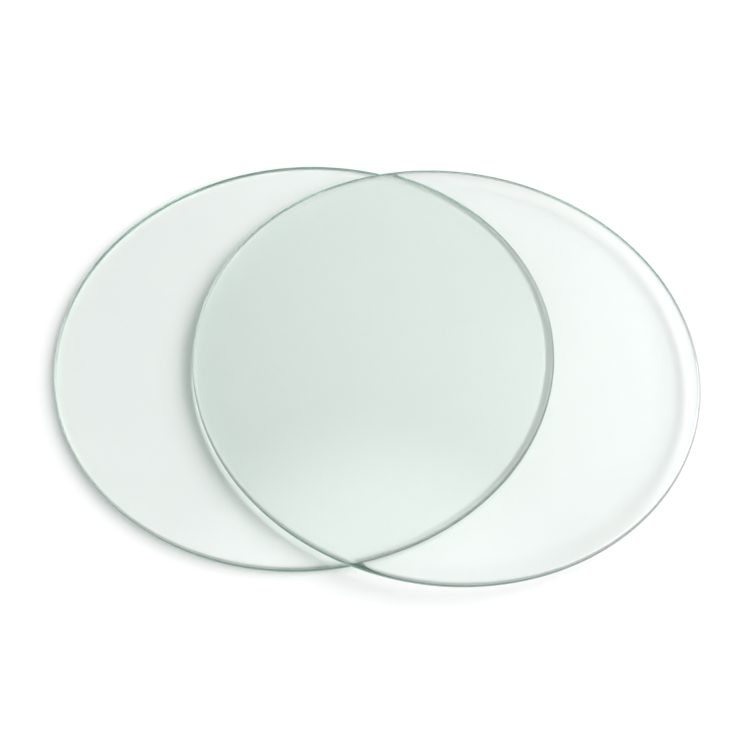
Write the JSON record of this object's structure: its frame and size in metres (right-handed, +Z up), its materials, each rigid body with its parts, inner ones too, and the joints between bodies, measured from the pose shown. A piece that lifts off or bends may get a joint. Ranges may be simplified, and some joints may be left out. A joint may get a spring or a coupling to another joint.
{
  "type": "watch glass pair",
  "caption": "Flat round plates of clear soda-lime glass with rounded, polished edges, one laid on the other and moved sideways; covers and dishes for samples.",
  "frame": {"origin": "on the table, under the middle of the pair's bounding box", "axes": "+X from the lower glass's centre towards the upper glass's centre, +Z up, square to the glass faces"},
  "size_m": [0.128, 0.1, 0.004],
  "materials": {
    "glass": "polished faces and rim, pale green tint"
  },
  "bodies": {
    "lower_glass": {"lower_glass": "glass"},
    "upper_glass": {"upper_glass": "glass"}
  },
  "joints": [
    {"name": "upper_glass_lift", "type": "slide", "parent": "lower_glass", "child": "upper_glass", "axis": [0, 0, 1], "range_m": [0, 0.05]}
  ]
}
